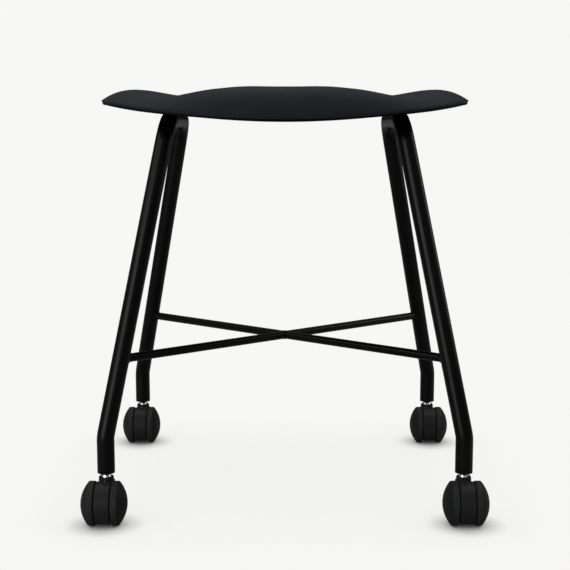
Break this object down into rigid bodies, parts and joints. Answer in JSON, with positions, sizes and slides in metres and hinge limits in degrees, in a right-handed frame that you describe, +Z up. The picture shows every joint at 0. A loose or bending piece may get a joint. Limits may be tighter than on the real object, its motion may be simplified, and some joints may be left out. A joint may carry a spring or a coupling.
{
  "type": "rolling stool",
  "caption": "Rolling stylist stool: a dished black seat with raised lobes on splayed bent-tube legs with crossed stretcher rods and twin-wheel swivel casters.",
  "frame": {"origin": "on the floor, under the middle of the seat and midway between the four caster swivel axes", "axes": "+Z up, +X to the right, -Y to the front"},
  "size_m": [0.4606, 0.41, 0.4899],
  "materials": {
    "seat_skin": "matte black soft seat skin, faint cool tint, satin at grazing angles",
    "seat_shell": "moulded black shell, fine grain",
    "brass": "turned brass",
    "screw_steel": "black zinc plated steel",
    "frame_paint": "black powder coat, satin to semi-gloss",
    "insert_plastic": "moulded black nylon",
    "spring_steel": "spring steel",
    "stem_chrome": "bright plated steel",
    "hood_plastic": "moulded dark grey nylon, fine texture",
    "axle_steel": "ground steel",
    "wheel_plastic": "moulded dark grey nylon, fine texture",
    "tread_rubber": "soft dark grey polyurethane tread"
  },
  "bodies": {
    "frame": {"seat_skin": "seat_skin", "seat_shell": "seat_shell", "seat_inserts": "brass", "seat_screws": "screw_steel", "cross_strap_front": "frame_paint", "cross_strap_rear": "frame_paint", "side_frame_left": "frame_paint", "side_frame_right": "frame_paint", "stretcher_long_rod": "frame_paint", "stretcher_half_rod_left": "frame_paint", "stretcher_half_rod_right": "frame_paint", "foot_inserts": "insert_plastic", "stem_grip_rings": "spring_steel", "stem_front_left": "stem_chrome", "stem_front_right": "stem_chrome", "stem_rear_left": "stem_chrome", "stem_rear_right": "stem_chrome"},
    "caster_front_left": {"hood_front_left": "hood_plastic", "axle_front_left": "axle_steel"},
    "outer_wheel_front_left": {"outer_wheel_front_left": "wheel_plastic", "outer_tread_front_left": "tread_rubber"},
    "inner_wheel_front_left": {"inner_wheel_front_left": "wheel_plastic", "inner_tread_front_left": "tread_rubber"},
    "caster_front_right": {"hood_front_right": "hood_plastic", "axle_front_right": "axle_steel"},
    "outer_wheel_front_right": {"outer_wheel_front_right": "wheel_plastic", "outer_tread_front_right": "tread_rubber"},
    "inner_wheel_front_right": {"inner_wheel_front_right": "wheel_plastic", "inner_tread_front_right": "tread_rubber"},
    "caster_rear_left": {"hood_rear_left": "hood_plastic", "axle_rear_left": "axle_steel"},
    "outer_wheel_rear_left": {"outer_wheel_rear_left": "wheel_plastic", "outer_tread_rear_left": "tread_rubber"},
    "inner_wheel_rear_left": {"inner_wheel_rear_left": "wheel_plastic", "inner_tread_rear_left": "tread_rubber"},
    "caster_rear_right": {"hood_rear_right": "hood_plastic", "axle_rear_right": "axle_steel"},
    "outer_wheel_rear_right": {"outer_wheel_rear_right": "wheel_plastic", "outer_tread_rear_right": "tread_rubber"},
    "inner_wheel_rear_right": {"inner_wheel_rear_right": "wheel_plastic", "inner_tread_rear_right": "tread_rubber"}
  },
  "joints": [
    {"name": "swivel_front_left", "type": "hinge", "parent": "frame", "child": "caster_front_left", "pos_m": [-0.204, -0.173, 0.05], "axis": [0, 0, 1], "continuous": true},
    {"name": "outer_roll_front_left", "type": "hinge", "parent": "caster_front_left", "child": "outer_wheel_front_left", "pos_m": [-0.222, -0.193, 0.025], "axis": [1, 0, 0], "continuous": true},
    {"name": "inner_roll_front_left", "type": "hinge", "parent": "caster_front_left", "child": "inner_wheel_front_left", "pos_m": [-0.186, -0.193, 0.025], "axis": [1, 0, 0], "continuous": true},
    {"name": "swivel_front_right", "type": "hinge", "parent": "frame", "child": "caster_front_right", "pos_m": [0.204, -0.173, 0.05], "axis": [0, 0, 1], "continuous": true},
    {"name": "outer_roll_front_right", "type": "hinge", "parent": "caster_front_right", "child": "outer_wheel_front_right", "pos_m": [0.222, -0.193, 0.025], "axis": [1, 0, 0], "continuous": true},
    {"name": "inner_roll_front_right", "type": "hinge", "parent": "caster_front_right", "child": "inner_wheel_front_right", "pos_m": [0.186, -0.193, 0.025], "axis": [1, 0, 0], "continuous": true},
    {"name": "swivel_rear_left", "type": "hinge", "parent": "frame", "child": "caster_rear_left", "pos_m": [-0.204, 0.173, 0.05], "axis": [0, 0, 1], "continuous": true},
    {"name": "outer_roll_rear_left", "type": "hinge", "parent": "caster_rear_left", "child": "outer_wheel_rear_left", "pos_m": [-0.222, 0.153, 0.025], "axis": [1, 0, 0], "continuous": true},
    {"name": "inner_roll_rear_left", "type": "hinge", "parent": "caster_rear_left", "child": "inner_wheel_rear_left", "pos_m": [-0.186, 0.153, 0.025], "axis": [1, 0, 0], "continuous": true},
    {"name": "swivel_rear_right", "type": "hinge", "parent": "frame", "child": "caster_rear_right", "pos_m": [0.204, 0.173, 0.05], "axis": [0, 0, 1], "continuous": true},
    {"name": "outer_roll_rear_right", "type": "hinge", "parent": "caster_rear_right", "child": "outer_wheel_rear_right", "pos_m": [0.222, 0.153, 0.025], "axis": [1, 0, 0], "continuous": true},
    {"name": "inner_roll_rear_right", "type": "hinge", "parent": "caster_rear_right", "child": "inner_wheel_rear_right", "pos_m": [0.186, 0.153, 0.025], "axis": [1, 0, 0], "continuous": true}
  ]
}
